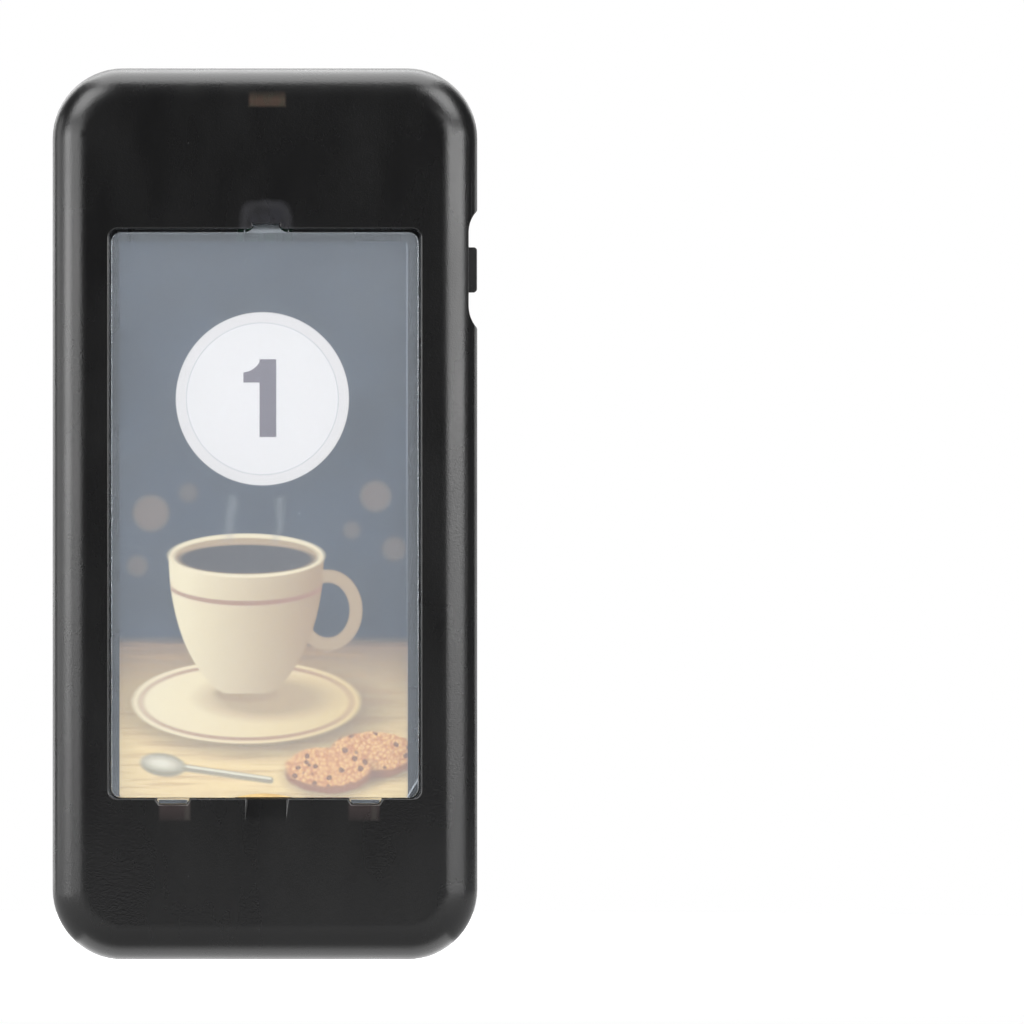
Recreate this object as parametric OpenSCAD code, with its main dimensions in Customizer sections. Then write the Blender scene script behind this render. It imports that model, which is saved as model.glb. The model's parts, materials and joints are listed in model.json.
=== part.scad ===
// Rechargeable guest pager: two case shells round a circuit board, a battery, a vibration motor
// and a buzzer, with an insert card behind a clear cover that swings open, and a side key.
// Everything is drawn lying on its back: x across, y up the length, z towards the front face.
// stand() then turns each piece upright, so that the part has +Z up its length, its front faces -Y
// and its origin is the centre of its bottom end.

/* [Case] */
// Width of the case
case_w = 50; // [49.5:0.25:52]
// Length of the case
case_h = 105; // [104:0.5:108]
// Thickness of the case
case_t = 14.5; // [14.5:0.1:15.5]
// Radius of the four corners, seen from the front
corner_r = 8.3; // [7.8:0.1:8.8]
// Radius of the rounded edge round each face
edge_r = 4.3; // [4:0.1:4.6]
// Thickness of the case walls
wall = 1.7; // [1.6:0.05:1.8]

/* [Window] */
// Width of the window opening
window_w = 36.6; // [36:0.1:37.5]
// Height of the window opening
window_h = 66.95; // [66:0.05:67.5]
// Height of the window's lower edge above the bottom end
window_low = 19.05; // [18.6:0.05:19.2]
// Gap between the cover and each side of the window
cover_gap = 0.25; // [0.2:0.05:0.35]
// Thickness of the clear cover
cover_t = 1; // [0.8:0.05:1.1]
// How far the cover's face lies below the case's face
cover_sunk = 0.15; // [0.1:0.05:0.3]
// Thickness of the insert card
card_t = 0.3; // [0.2:0.05:0.35]

/* [Side key] */
// Height of the middle of the key above the bottom end
key_high = 81.3; // [80.5:0.1:82]
// Length of the key along the case
key_l = 5.3; // [4.8:0.1:5.6]
// Width of the key across the side wall
key_w = 3.2; // [2.8:0.1:3.4]
// How far the key travels
key_travel = 0.35; // [0.2:0.05:0.4]
// Depth of the finger scallop round the key
scallop_depth = 1.04; // [0.8:0.02:1.1]
// Length of the scallop's flat floor
scallop_flat = 8.65; // [8:0.05:9]

/* [Back] */
// Distance of the case screws from the sides of the case
screw_inset = 6.9; // [6.8:0.05:7.1]
// Height of the lower pair of screws above the bottom end
screw_low = 18.5; // [18.3:0.1:18.9]
// Distance of the upper pair of screws below the top end
screw_top_inset = 9.2; // [9:0.1:9.6]
// Diameter of the recess round each screw head
screw_recess_d = 3.5; // [3.4:0.05:3.7]
// Height of the stepped foot that slides into a charger
foot_h = 13.3; // [12.8:0.1:13.8]
// Depth of the step
foot_step = 1.05; // [0.9:0.05:1.2]
// Distance of each charging contact's middle from the middle of the case
contact_x = 18; // [17.8:0.05:18.2]
// Width of a charging contact
contact_w = 5.24; // [5:0.02:5.4]
// Height of a charging contact
contact_h = 5.7; // [5.4:0.05:5.8]
// Height of a contact's lower edge above the bottom end
contact_low = 4.75; // [4.7:0.05:5]

/* [Lanyard eye] */
// Width of the eye
eye_w = 4.66; // [4.4:0.02:4.8]
// Distance from the top end down to the lower side of the bar
bar_low = 2.4; // [2.2:0.05:2.6]
// Distance from the top end down to the lower side of the eye
eye_low = 4.4; // [4.3:0.05:4.6]

/* [Battery and motor] */
// Width of the battery
battery_w = 32; // [30:0.5:33]
// Height of the battery
battery_h = 44; // [42:0.5:44]
// Thickness of the battery
battery_t = 4.6; // [4.2:0.1:4.6]
// Diameter of the vibration motor
motor_d = 6; // [5.8:0.05:6]

/* [Hidden] */
$fn = 64;

// A little more than nothing, so that a cut passes its surface
past = 1;
// How far a joined solid reaches into the wall that carries it
bite = 0.3;
// How far one piece of a solid runs into the next
weld = 0.1;

// Case
half_t = case_t / 2;
half_w = case_w / 2;
inner_w = case_w - 2 * wall;
inner_h = case_h - 2 * wall;
inner_z = half_t - wall;
lip_t = 0.7;
lip_h = 0.8;
lip_gap = 0.1;
lip_root = 1.5;

// Window, tray and cover
window_r = 1;
window_top = window_low + window_h;
tray_wall = 1.4;
tray_floor_z = half_t - 1.85;
tray_floor_t = 1;
cover_w = window_w - 2 * cover_gap;
cover_low = window_low + 0.12;
cover_top = window_top - 0.38;
cover_face_z = half_t - cover_sunk;
cover_back_z = cover_face_z - cover_t;
cover_r = 1.2;
card_w = 33.9;
card_x = -0.15;
card_low = window_low + 0.15;
card_top = window_top - 1.45;
card_r = 0.4;

// The cover's tongue, which hooks behind the skin above the window
tongue_w = 5.6;
tongue_t = 0.6;
tongue_top = window_top + 2.9;
tongue_face_z = half_t - 1.1;
tongue_skin_z = half_t - 0.95;
tongue_side_room = 0.4;
tongue_end_room = 0.3;
tongue_root = window_top + 0.5;
swing_low = window_top - 1.75;
neck_w = 2.8;
neck_x = 0.15;
neck_flare_r = 1.1;
neck_low = cover_top - 0.6;
neck_front = window_top + 0.45;
neck_back = window_top - 0.15;
neck_end = window_top + 0.9;
neck_bevel = 0.15;
notch_w = neck_w + 0.25;
notch_top = window_top + 0.56;
notch_flare = 0.4;
notch_flare_h = 0.3;

// The cover's lower tabs, and the thumbnail groove between them
tab_x = [-10.8, 11.8];
tab_w = 4;
tab_taper = 0.5;
tab_drop = 0.72;
tab_root = 0.3;
tab_bevel = 0.15;
tab_edge_t = 0.45;
tab_notch_gap = 0.1;
tab_notch_drop = 0.7;
tab_pocket_w = 3.6;
tab_pocket_drop = 2.45;
tab_skin = 0.8;
groove_x = 0.25;
groove_w = 4.7;
groove_h = 2.7;
groove_depth = 0.7;
pry_x = groove_x - 0.4;
pry_chord = 6.8;
pry_rise = 0.5;
pry_r = (pow(pry_chord / 2, 2) + pow(pry_rise, 2)) / (2 * pry_rise);

// Side key
scallop_x = half_w - scallop_depth;
scallop_end_r = 3.77;
key_gap = 0.15;
key_corner_r = 0.4;
pad_x = scallop_x - 1.66;
pad_h = 15.6;
pad_half_t = 5;
flange_l = 7.6;
flange_w = 5.2;
flange_t = 0.85;
flange_x = pad_x - weld - flange_t;
nib_t = 0.45;
nib_l = 2;
nib_w = 1.6;
nib_x = flange_x - nib_t;

// Circuit board
board_t = 1;
board_face_z = 2.4;
board_back_z = board_face_z - board_t;
board_w = 41.8;
board_low = 3.4;
board_top = case_h - 6.2;
board_corner_r = 5;
board_notch_depth = 0.6;
board_notch_h = 9.5;

// Case screws and their bosses
screw_x = half_w - screw_inset;
screw_high = case_h - screw_top_inset;
screw_sites = [[-screw_x, screw_low], [screw_x, screw_low], [-screw_x, screw_high], [screw_x, screw_high]];
screw_seat_z = -half_t + 1.8;
screw_head_d = 3.3;
screw_head_t = 1.3;
screw_shank_d = 1.9;
screw_l = 8;
screw_point = 0.9;
screw_tip_d = 0.5;
cross_l = 2.3;
cross_w = 0.5;
cross_depth = 0.8;
boss_r = 3;
boss_neck_r = 2.1;
boss_neck_z = -1;
boss_below_tray = 0.1;
boss_hole_r = 2.3;
pilot_r = 1;
pilot_end_z = 3.3;
clearance_r = 1.15;

// Foot and charging contacts
foot_z = -half_t + foot_step;
foot_wall = 1.6;
contact_face_z = foot_z + 0.08;
contact_t = 0.35;
contact_gap = 0.13;
contact_pocket_z = foot_z + 0.6;
contact_slot_h = 0.6;
contact_bend = contact_low + 1.65;
contact_lean = 0.17;
contact_foot = 1.2;
contact_hook = 0.9;
mark_x = -0.6;
mark_y = 7.6;
mark_r = 3.4;
mark_line = 0.32;
mark_depth = 0.15;
tick_l = 0.5;
tick_w = 0.21;
tick_step = 30;
pointer_l = 3;
pointer_turn = 60;

// Lanyard eye
bar_back_z = -half_t + 2.85;
bar_front_z = -half_t + 5.35;
bar_sunk = 0.15;
eye_mouth_w = eye_w + 0.26;
eye_lip_top = 0.7;
eye_lip_low = 0.05;
pocket_wall = 0.8;
pocket_end_z = 2.8;

// Battery
battery_low = 26;
battery_face_z = 0.9;
battery_back_z = battery_face_z - battery_t;
battery_top = battery_low + battery_h;
cell_corner_r = 1.5;
rib_y = [battery_low + 6, battery_top - 7];
rib_inset = 3;
rib_gap = 0.1;
rib_t = 1;
foam_w = 24;
foam_inset = [5, 6];
guard_w = 24;
guard_h = 2.6;
guard_z = [-2.2, -1.4];

// Battery socket and plug, open upwards
socket_w = 7;
socket_y = [14.5, 20];
socket_t = 3.4;
socket_side = 0.7;
socket_end = 1;
socket_skin = 0.6;
plug_fit = 0.1;
plug_end = 21.2;

// The battery leads run from the guard board down beside the battery to the plug
lead_r = 0.45;
lead_steps = 5;
red_route = [
    [12, 71, -1.8], [15.5, 71, -1.8], [18, 68, -1.5], [18, 60, -1.5], [18, 40, -1.5], [18, 28, -1.5],
    [15, 24, -1], [8, 24, -0.4], [2.5, 24, -0.3], [1.2, 22.8, -0.3], [1.2, 21.2, -0.3]
];
black_route = [
    [12, 72.2, -1.8], [16, 72.4, -1.8], [19.4, 68.6, -1.5], [19.4, 60, -1.5], [19.4, 40, -1.5],
    [19.4, 27, -1.6], [15.5, 22.8, -2.6], [8, 23, -2.4], [2, 23.6, -2], [-0.8, 23.6, -1.3],
    [-1.2, 22.6, -0.4], [-1.2, 21.2, -0.3]
];

// Vibration motor, lying along x
motor_r = motor_d / 2;
motor_y = 80.5;
motor_z = -1.9;
motor_x0 = -2;
motor_x1 = 9;
motor_can_t = 0.3;
motor_fit = 0.02;
cap_l = 0.9;
bush_r = 1.1;
bush_l = 0.9;
bush_proud = 0.4;
magnet_x0 = motor_x0 + 1.4;
magnet_l = 7;
magnet_t = 0.38;
rotor_x0 = motor_x0 + 1.8;
rotor_l = 6.2;
rotor_r = motor_r - 0.95;
shaft_r = 0.5;
shaft_gap = 0.03;
shaft_x0 = motor_x0 + 1.3;
shaft_end = 14;
weight_x0 = 10.4;
weight_l = 3.4;
weight_r = 2.8;
hub_r = 1.2;
boot_x = [motor_x0 + 0.8, motor_x1 - 1.2];
boot_half = 3.9;
boot_gap = [0.15, 0.05];
motor_lead_r = 0.3;
motor_red_route = [
    [-2, 81.6, -2.6], [-3.2, 81.6, -2.6], [-4.6, 80, -1.6], [-5, 77.5, 0], [-5, 76.5, 0.6],
    [-5, 76.4, 1.35]
];
motor_black_route = [
    [-2, 79.4, -2.6], [-3, 79.2, -2.6], [-3.6, 77.4, -1.6], [-3.4, 75.5, 0], [-3.4, 75, 0.6],
    [-3.4, 75, 1.35]
];

// Push switch
switch_x0 = 15.6;
switch_x1 = 19.3;
switch_l = 6;
switch_t = 3.5;
plate_t = 0.2;
stem_l = 2.8;
stem_w = 1.5;
stem_x0 = 17.9;
stem_x1 = nib_x - weld;
stem_z = 0;
stem_gap = 0.15;

// Buzzer
buzzer_x = -13;
buzzer_y = 80.5;
buzzer_r = 6;
buzzer_t = 5.2;
buzzer_wall = 0.6;
sound_hole_r = 1;
diaphragm_t = 0.2;
diaphragm_gap = 0.05;
diaphragm_z = 1.6;

// Antenna
coil_x0 = -11;
coil_y = 91;
coil_z = -1.9;
coil_r = 2.2;
coil_pitch = 2;
coil_turns = 11;
coil_wire_r = 0.3;
coil_steps = 14;

// Lamps
led_sites = [for (y = [11, 93], x = [-9, 0, 9]) [x, y]];
led_l = 3.5;
led_w = 2.8;
led_t = 1.5;
led_cup_r = 1.2;
led_cup = 0.6;
lens_gap = 0.02;
lens_sunk = 0.08;

// Chips: middle, then width, length and height, leads on a side, their pitch, and the leaded sides
controller_at = [-7, 32];
controller_size = [7, 7, 1.4];
controller_leads = [8, 0.8];
controller_sides = [0, 90, 180, 270];
charger_at = [9, 24];
charger_size = [4, 5, 1.5];
charger_leads = [4, 1.27];
charger_sides = [0, 180];
lead_reach = 0.9;
lead_t = 0.3;
chip_clear = 0.1;

// Radio shield, crystal and inductor
shield_at = [4, 62.5];
shield_size = [14, 13, 1.7];
shield_t = 0.25;
shield_roof = 0.2;
shield_r = 0.6;
crystal_at = [-8, 44.25];
crystal_size = [3.2, 2.5, 0.9];
crystal_r = 0.5;
inductor_at = [10, 34];
inductor_foot = [4, 4, 0.5];
inductor_core_r = 1.5;
inductor_core_z = 1.3;
inductor_cap_r = 1.95;
inductor_cap_t = 0.4;

// Small chip parts: length, width and height, then the middle of each, all the same way round
capacitor_size = [2, 1.25, 0.9];
capacitor_sites = [
    [-13, 26], [-13, 29], [-13, 35], [-13, 38], [-1, 27], [-1, 30], [3, 44], [7, 44], [-4, 60], [-4, 64]
];
resistor_size = [1.6, 0.8, 0.45];
resistor_sites = [
    [14, 40], [14, 43], [14, 46], [-14, 48], [-14, 51], [-14, 54], [0, 50], [4, 50],
    [-8, 70], [-8, 73], [12, 52], [12, 55]
];

// Colours
c_smoked = [0.13, 0.13, 0.14];
c_black = [0.2, 0.2, 0.21];
c_clear = [0.75, 0.78, 0.82, 0.5];
c_card = [0.62, 0.56, 0.48];
c_nickel = [0.78, 0.75, 0.72];
c_screw = [0.1, 0.1, 0.1];
c_board = [0.05, 0.3, 0.16];
c_chip = [0.12, 0.12, 0.12];
c_white = [0.9, 0.9, 0.88];
c_tin = [0.72, 0.73, 0.75];
c_copper = [0.8, 0.5, 0.3];
c_red = [0.75, 0.08, 0.06];
c_phosphor = [0.9, 0.8, 0.3];
c_ferrite = [0.25, 0.25, 0.27];
c_ceramic = [0.65, 0.5, 0.35];
c_brass = [0.75, 0.6, 0.3];
c_magnet = [0.3, 0.3, 0.32];
c_weight = [0.55, 0.55, 0.57];

// ---------------------------------------------------------------- shared shapes

// Turns a piece drawn lying on its back upright, front towards -Y
module stand() {
    rotate([90, 0, 0]) children();
}

// A block given by its lowest corner and its highest corner
module block(low, high) {
    translate(low) cube([high[0] - low[0], high[1] - low[1], high[2] - low[2]]);
}

// A flat plate with rounded corners, middle at x, from y0 to y1 and from z0 to z1
module plate(x, w, y0, y1, r, z0, z1) {
    translate([x, 0, z0]) linear_extrude(z1 - z0) rounded_outline(w, y0, y1, r);
}

// A rectangle with round corners, centred across, from y0 to y1
module rounded_outline(w, y0, y1, r) {
    translate([-w / 2 + r, y0]) square([w - 2 * r, y1 - y0]);
    translate([-w / 2, y0 + r]) square([w, y1 - y0 - 2 * r]);
    for (x = [-w / 2 + r, w / 2 - r], y = [y0 + r, y1 - r]) translate([x, y]) circle(r);
}

// Half section through a wall's rounded edge: r wide and depth tall, rounded at the outer upper corner
module edge_profile(r, e, depth) {
    square([r, depth - e]);
    square([r - e, depth]);
    intersection() {
        translate([r - e, depth - e]) circle(e);
        square([r, depth]);
    }
}

// One half of a pebble-edged slab: w by h, standing on z = 0, with its upper face at depth
module rounded_half(w, h, r, e, depth) {
    flat_x = w / 2 - r;
    translate([0, h - r, 0]) rotate([90, 0, 0]) linear_extrude(h - 2 * r) {
        translate([-flat_x, 0]) square([2 * flat_x, depth]);
        translate([flat_x, 0]) edge_profile(r, e, depth);
        mirror([1, 0]) translate([flat_x, 0]) edge_profile(r, e, depth);
    }
    translate([-flat_x, r, 0]) rotate([90, 0, 90])
        linear_extrude(2 * flat_x) mirror([1, 0]) edge_profile(r, e, depth);
    translate([-flat_x, h - r, 0]) rotate([90, 0, 90])
        linear_extrude(2 * flat_x) edge_profile(r, e, depth);
    for (corner = [[flat_x, h - r, 0], [-flat_x, h - r, 90], [-flat_x, r, 180], [flat_x, r, 270]])
        translate([corner[0], corner[1], 0]) rotate([0, 0, corner[2]])
            rotate_extrude(angle = 90) edge_profile(r, e, depth);
}

// The outer surface of one half of the case, filled
module case_half() {
    rounded_half(case_w, case_h, corner_r, edge_r, half_t);
}

// The hollow of one half of the case, reaching a little below z = 0
module case_hollow() {
    translate([0, wall, -past])
        rounded_half(inner_w, inner_h, corner_r - wall, edge_r - wall, inner_z + past);
}

// A straight ring wall just inside the case walls, from z0 to z1, with the given gap to them
module ring_wall(gap, t, z0, z1) {
    difference() {
        plate(0, inner_w - 2 * gap, wall + gap, case_h - wall - gap, corner_r - wall - gap, z0, z1);
        plate(0, inner_w - 2 * t, wall + t, case_h - wall - t, corner_r - wall - t, z0 - past, z1 + past);
    }
}

// A shape repeated at the four case screws
module at_screws() {
    for (site = screw_sites) translate([site[0], site[1], 0]) children();
}

// The finger scallop in the right-hand side, cut through the whole thickness
module scallop_cut() {
    translate([0, 0, -case_t]) linear_extrude(2 * case_t) {
        translate([scallop_x, key_high - scallop_flat / 2]) square([scallop_depth + past, scallop_flat]);
        for (side = [-1, 1])
            translate([scallop_x + scallop_end_r, key_high + side * scallop_flat / 2])
                circle(scallop_end_r, $fn = 96);
    }
}

// The opening that the key slides in
module key_opening() {
    block([pad_x - past, key_high - key_l / 2 - key_gap, -key_w / 2 - key_gap],
          [half_w + past, key_high + key_l / 2 + key_gap, key_w / 2 + key_gap]);
}

// Thicker wall behind the scallop, from z0 to z1
module key_pad(z0, z1) {
    block([pad_x, key_high - pad_h / 2, z0], [half_w - wall + bite, key_high + pad_h / 2, z1]);
}

// A wire swept along a list of points, with its ends closed
function unit(v) = v / norm(v);
function heading(p, i) = unit(p[min(i + 1, len(p) - 1)] - p[max(i - 1, 0)]);
function side_of(d) = unit(cross(d, abs(d[2]) < abs(d[1]) + abs(d[0]) ? [0, 0, 1] : [0, 1, 0]));
// Each ring's reference side is the last one's, made square to the new heading, so the tube doesn't twist
function carried(p, i, s) = unit(s - heading(p, i) * (s * heading(p, i)));
function ring_sides(p, i = 0, s = undef, out = []) =
    i == len(p) ? out :
    let (now = i == 0 ? side_of(heading(p, 0)) : carried(p, i, s))
        ring_sides(p, i + 1, now, concat(out, [now]));
module wire(p, r, n = 8) {
    sides = ring_sides(p);
    rings = [for (i = [0:len(p) - 1])
        let (d = heading(p, i), a = sides[i], b = cross(d, a))
            for (k = [0:n - 1]) p[i] + r * (a * cos(360 * k / n) + b * sin(360 * k / n))];
    skin = [for (i = [0:len(p) - 2], k = [0:n - 1])
        [i * n + k, (i + 1) * n + k, (i + 1) * n + (k + 1) % n, i * n + (k + 1) % n]];
    first = [for (k = [0:n - 1]) k];
    last = [for (k = [n - 1:-1:0]) (len(p) - 1) * n + k];
    polyhedron(points = rings, faces = concat(skin, [first, last]), convexity = 10);
}

// A smooth line through a short list of points, with the given number of steps in each stretch
function bend_point(a, b, c, d, t) =
    0.5 * ((2 * b) + (c - a) * t + (2 * a - 5 * b + 4 * c - d) * t * t + (3 * b - a - 3 * c + d) * t * t * t);
function smooth_line(p, steps) = concat(
    [for (i = [0:len(p) - 2], k = [0:steps - 1])
        bend_point(p[max(i - 1, 0)], p[i], p[i + 1], p[min(i + 2, len(p) - 1)], k / steps)],
    [p[len(p) - 1]]);

// ---------------------------------------------------------------- case

// Boss that carries the board on its shoulder and takes a screw
module screw_boss(end_z) {
    translate([0, 0, board_face_z]) cylinder(r = boss_r, h = end_z - board_face_z);
    translate([0, 0, boss_neck_z]) cylinder(r = boss_neck_r, h = board_face_z - boss_neck_z + bite);
}

// Smoked front half: skin, window frame with the card tray behind it, bosses
module front_shell() {
    color(c_smoked) stand() difference() {
        union() {
            difference() {
                case_half();
                case_hollow();
            }
            plate(0, window_w + 2 * tray_wall, window_low - tray_wall, window_top + tray_wall,
                window_r + tray_wall, tray_floor_z - tray_floor_t, inner_z + bite);
            for (x = [-screw_x, screw_x]) {
                translate([x, screw_low, 0]) screw_boss(tray_floor_z - boss_below_tray);
                translate([x, screw_high, 0]) screw_boss(inner_z + bite);
            }
            key_pad(0, pad_half_t);
        }
        // the window and the tray that holds the card
        plate(0, window_w, window_low, window_top, window_r, tray_floor_z, half_t + past);
        tongue_cuts();
        tab_cuts();
        thumb_groove();
        at_screws() translate([0, 0, boss_neck_z - past])
            cylinder(r = pilot_r, h = pilot_end_z - boss_neck_z + past);
        scallop_cut();
        key_opening();
    }
}

// Notch for the cover's neck, and the room that the tongue swings in
module tongue_cuts() {
    narrow = notch_w / 2;
    wide = narrow + notch_flare;
    translate([neck_x, 0, tray_floor_z]) linear_extrude(half_t)
        polygon([[-wide, window_top - past], [wide, window_top - past], [wide, window_top],
                 [narrow, window_top + notch_flare_h], [narrow, notch_top], [-narrow, notch_top],
                 [-narrow, window_top + notch_flare_h], [-wide, window_top]]);
    room = tongue_w / 2 + tongue_side_room;
    block([-room, swing_low, tray_floor_z - tray_floor_t - past],
          [room, tongue_top + tongue_end_room, tongue_skin_z]);
}

// Open notches for the cover's lower tabs, with a thin-skinned pocket below each
module tab_cuts() {
    for (x = tab_x) {
        translate([x, 0, tray_floor_z]) linear_extrude(half_t)
            tab_outline(window_low + past, window_low - tab_notch_drop, tab_notch_gap);
        block([x - tab_pocket_w / 2, window_low - tab_pocket_drop, inner_z - past],
              [x + tab_pocket_w / 2, window_low, half_t - tab_skin]);
    }
}

// Sloping groove that lets a fingernail under the cover
module thumb_groove() {
    translate([groove_x - groove_w / 2, 0, 0]) rotate([90, 0, 90]) linear_extrude(groove_w)
        polygon([[window_low - groove_h, half_t], [window_low + past, half_t - groove_depth],
                 [window_low + past, half_t + past], [window_low - groove_h, half_t + past]]);
}

// Black back half: skin, stepped foot, screw posts, battery ribs and the lanyard eye
module back_shell() {
    color(c_black) stand() difference() {
        union() {
            difference() {
                mirror([0, 0, 1]) case_half();
                mirror([0, 0, 1]) case_hollow();
            }
            intersection() {
                mirror([0, 0, 1]) case_half();
                block([-half_w, 0, -half_t], [half_w, foot_h + foot_wall, foot_z + foot_wall]);
            }
            lip();
            at_screws() translate([0, 0, -inner_z - bite])
                cylinder(r = boss_r, h = boss_neck_z + inner_z + bite);
            for (y = rib_y)
                block([-battery_w / 2 + rib_inset, y, -inner_z - bite],
                      [battery_w / 2 - rib_inset, y + rib_t, battery_back_z - rib_gap]);
            key_pad(-pad_half_t, 0);
            eye_walls();
        }
        // the step that makes the foot thinner
        block([-half_w - past, -past, -half_t - past], [half_w + past, foot_h, foot_z]);
        at_screws() screw_holes();
        contact_cuts();
        eye_cuts();
        mould_mark();
        scallop_cut();
        key_opening();
    }
}

// Locating lip inside the parting line, left out beside the key
module lip() {
    difference() {
        union() {
            ring_wall(-bite, lip_t, -lip_root, 0);
            ring_wall(lip_gap, lip_t, -weld, lip_h);
        }
        low = -lip_root - past;
        high = lip_h + past;
        inside = wall + lip_t + past;
        block([half_w - inside, key_high - pad_h / 2 - lip_gap, low],
              [half_w - wall + past, key_high + pad_h / 2 + lip_gap, high]);
        eye_reach = eye_mouth_w / 2 + pocket_wall + lip_gap;
        block([-eye_reach, case_h - inside, low], [eye_reach, case_h - wall, high]);
    }
}

// Recess and clearance hole for one case screw
module screw_holes() {
    translate([0, 0, -half_t - past]) cylinder(d = screw_recess_d, h = screw_seat_z + half_t + past);
    translate([0, 0, -half_t]) cylinder(r = clearance_r, h = half_t);
}

// Pocket and leg slots for each charging contact
module contact_cuts() {
    reach = contact_w / 2 + contact_gap;
    low = contact_low - contact_gap;
    high = contact_low + contact_h + contact_gap;
    for (x = [-contact_x, contact_x]) {
        block([x - reach, low, foot_z - past], [x + reach, high, contact_pocket_z]);
        for (y = [low, high - contact_slot_h])
            block([x - reach, y, foot_z], [x + reach, y + contact_slot_h, foot_z + foot_wall + past]);
    }
}

// Walls of the pocket behind the lanyard bar
module eye_walls() {
    top = case_h - wall - lip_gap;
    low = case_h - eye_low - pocket_wall;
    for (side = [-1, 1])
        block([side * (eye_w / 2 + pocket_wall / 2) - pocket_wall / 2, low, -inner_z - bite],
              [side * (eye_w / 2 + pocket_wall / 2) + pocket_wall / 2, top, pocket_end_z]);
    block([-eye_w / 2 - pocket_wall, low, -inner_z - bite],
          [eye_w / 2 + pocket_wall, low + pocket_wall, pocket_end_z]);
    block([-eye_w / 2 - pocket_wall, case_h - bar_low, bar_back_z],
          [eye_w / 2 + pocket_wall, case_h - bar_sunk - bite, bar_front_z]);
}

// The eye's mouth in the back, its way in behind the bar, and its way out through the top end
module eye_cuts() {
    block([-eye_mouth_w / 2, case_h - eye_low - eye_lip_low, -half_t - past],
          [eye_mouth_w / 2, case_h - eye_lip_top, bar_back_z]);
    block([-eye_w / 2, case_h - eye_low, -half_t - past], [eye_w / 2, case_h - bar_low, past]);
    block([-eye_w / 2, case_h - eye_low, bar_front_z], [eye_w / 2, case_h + past, past]);
    block([-eye_w / 2, case_h - bar_sunk, bar_back_z], [eye_w / 2, case_h + past, past]);
}

// Plain mould mark in the foot: a ring with short ticks and a pointer
module mould_mark() {
    translate([mark_x, mark_y, foot_z - past]) linear_extrude(mark_depth + past) {
        difference() {
            circle(mark_r);
            circle(mark_r - mark_line);
        }
        for (turn = [0:tick_step:360 - tick_step])
            rotate(turn) translate([mark_r - 2 * tick_l, -tick_w / 2]) square([tick_l, tick_w]);
        rotate(pointer_turn) translate([-pointer_l / 2, -mark_line / 2]) square([pointer_l, mark_line]);
    }
}

// Four black cross-headed screws, heads towards the back
module case_screws() {
    color(c_screw) stand() at_screws() difference() {
        union() {
            translate([0, 0, screw_seat_z - screw_head_t]) cylinder(d = screw_head_d, h = screw_head_t);
            translate([0, 0, screw_seat_z - weld])
                cylinder(d = screw_shank_d, h = screw_l - screw_point + weld);
            translate([0, 0, screw_seat_z + screw_l - screw_point])
                cylinder(d1 = screw_shank_d, d2 = screw_tip_d, h = screw_point);
        }
        for (turn = [45, 135]) rotate(turn)
            translate([-cross_l / 2, -cross_w / 2, screw_seat_z - screw_head_t - past])
                cube([cross_l, cross_w, cross_depth + past]);
    }
}

// Clear cover: pane, hooked tongue above, two tabs and a nail recess below
module window_cover() {
    color(c_clear) stand() difference() {
        union() {
            cover_pane();
            cover_neck();
            cover_tongue();
            for (x = tab_x) cover_tab(x);
        }
        translate([pry_x, cover_low + pry_rise - pry_r, cover_back_z - past])
            cylinder(r = pry_r, h = cover_t + 2 * past, $fn = 128);
    }
}

// Pane whose upper edge is fully round, about the axis that the cover swings on
module cover_pane() {
    intersection() {
        plate(0, cover_w, cover_low, cover_top, cover_r, cover_back_z - past, cover_face_z + past);
        translate([-case_w / 2, 0, 0]) rotate([90, 0, 90]) linear_extrude(case_w) {
            translate([0, cover_back_z]) square([cover_top - cover_t / 2, cover_t]);
            translate([cover_top - cover_t / 2, cover_back_z + cover_t / 2]) circle(d = cover_t);
        }
    }
}

// Neck from the pane's upper edge back to the tongue: its side view within its flared front view
module cover_neck() {
    front_z = cover_face_z - neck_bevel / 3;
    tongue_back_z = tongue_face_z - tongue_t;
    intersection() {
        translate([-tongue_w, 0, 0]) rotate([90, 0, 90]) linear_extrude(2 * tongue_w)
            polygon([[neck_low, front_z], [neck_front - neck_bevel, front_z],
                     [neck_front, front_z - neck_bevel], [tongue_root, tongue_face_z],
                     [neck_end, tongue_face_z - weld], [neck_end, tongue_back_z],
                     [tongue_root + weld, tongue_back_z], [neck_back, cover_back_z],
                     [neck_low, cover_back_z]]);
        translate([neck_x, 0, 0]) linear_extrude(half_t) neck_outline();
    }
}

// Front view of the neck, whose sides sweep out into the pane's upper edge
module neck_outline() {
    translate([-neck_w / 2, neck_low - past]) square([neck_w, neck_end - neck_low + 2 * past]);
    for (side = [-1, 1]) difference() {
        translate([side * (neck_w + neck_flare_r) / 2, cover_top - cover_t / 4 + neck_flare_r / 2])
            square([neck_flare_r + weld, neck_flare_r + cover_t / 2], center = true);
        translate([side * (neck_w / 2 + neck_flare_r), cover_top + neck_flare_r]) circle(neck_flare_r);
    }
}

// Round-topped tongue behind the skin
module cover_tongue() {
    r = tongue_w / 2;
    translate([0, 0, tongue_face_z - tongue_t]) linear_extrude(tongue_t) intersection() {
        union() {
            translate([0, tongue_top - r]) circle(r);
            translate([-r, window_top]) square([tongue_w, tongue_top - r - window_top]);
        }
        translate([-r, tongue_root]) square([tongue_w, tongue_top - tongue_root]);
    }
}

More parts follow.
